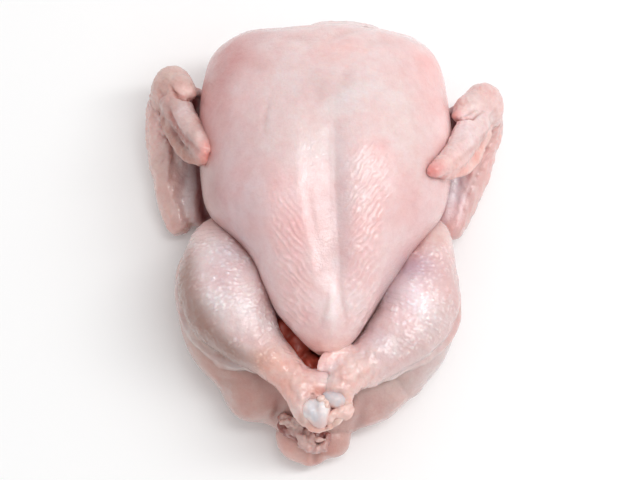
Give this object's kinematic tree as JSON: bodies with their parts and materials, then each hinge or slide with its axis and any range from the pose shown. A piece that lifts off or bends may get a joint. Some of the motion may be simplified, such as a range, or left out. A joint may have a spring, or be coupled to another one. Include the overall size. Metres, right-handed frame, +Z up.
{
  "type": "whole raw chicken",
  "caption": "Whole raw chicken, plucked and drawn, lying breast up with its legs drawn together and its wings folded; the body cavity is open at the rear.",
  "frame": {"origin": "on the table, under the middle of the bird's outline", "axes": "+Z up with the breast uppermost, +Y towards the neck end, +X towards the bird's right-hand wing as seen from above with the neck end at the top"},
  "size_m": [0.1966, 0.2396, 0.1094],
  "materials": {
    "skin": "moist, smooth and slightly translucent raw poultry skin",
    "gristle": "wet bluish-white gristle of the cut leg joints",
    "raw_flesh": "wet dark red flesh inside the body cavity"
  },
  "bodies": {
    "root": {"whole_chicken": "skin"}
  },
  "joints": []
}
